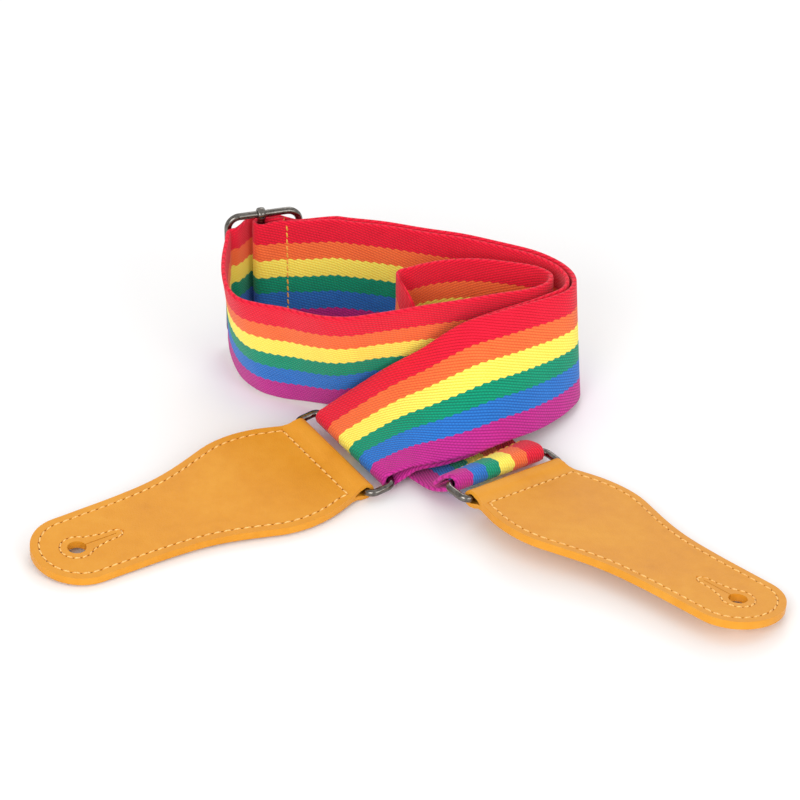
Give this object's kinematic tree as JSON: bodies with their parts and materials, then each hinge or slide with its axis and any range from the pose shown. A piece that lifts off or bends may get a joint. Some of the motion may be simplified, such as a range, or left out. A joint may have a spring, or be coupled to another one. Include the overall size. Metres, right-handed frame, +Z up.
{
  "type": "guitar strap",
  "caption": "Striped woven guitar strap lying coiled on its edge, with a wire glide, rectangular wire rings and flat leather button ends.",
  "frame": {"origin": "middle of the bounding box's base, on the table the strap lies on", "axes": "+X to the right along the longer side between the leather tips, +Y away from the front, +Z up"},
  "size_m": [0.2886, 0.2298, 0.0623],
  "materials": {
    "webbing": "six-stripe woven webbing, matte",
    "leather": "smooth tan leather, cut edges",
    "metal": "dark polished nickel wire",
    "thread": "light waxed thread"
  },
  "bodies": {
    "webbing": {"webbing": "webbing", "glide_seam": "thread", "ring_seam": "thread", "glide_centre_bar": "metal"},
    "glide_frame": {"glide_frame": "metal"},
    "left_ring": {"left_ring": "metal"},
    "right_ring": {"right_ring": "metal"},
    "left_leather_end": {"left_leather_end": "leather", "left_edge_seam": "thread", "left_keyhole_seam": "thread"},
    "right_leather_end": {"right_leather_end": "leather", "right_edge_seam": "thread", "right_keyhole_seam": "thread"}
  },
  "joints": [
    {"name": "glide_slide", "type": "slide", "parent": "webbing", "child": "glide_frame", "axis": [0.9659, 0.2588, 0], "range_m": [-0.0006, 0.0015]},
    {"name": "left_ring_hinge", "type": "hinge", "parent": "webbing", "child": "left_ring", "pos_m": [-0.01908, 0.01252, 0.00699], "axis": [-0.543, 0.8361, 0.0785], "range_deg": [0, 35]},
    {"name": "left_end_hinge", "type": "hinge", "parent": "left_ring", "child": "left_leather_end", "pos_m": [-0.02871, 0.00639, 0.00562], "axis": [-0.543, 0.8361, 0.0785], "range_deg": [0, 45]},
    {"name": "right_ring_hinge", "type": "hinge", "parent": "webbing", "child": "right_ring", "pos_m": [0.03572, -0.00578, 0.00919], "axis": [-0.6984, -0.6984, 0.1564], "range_deg": [0, 35]},
    {"name": "right_end_hinge", "type": "hinge", "parent": "right_ring", "child": "right_leather_end", "pos_m": [0.04356, -0.01401, 0.00741], "axis": [-0.6984, -0.6984, 0.1564], "range_deg": [0, 45]}
  ]
}
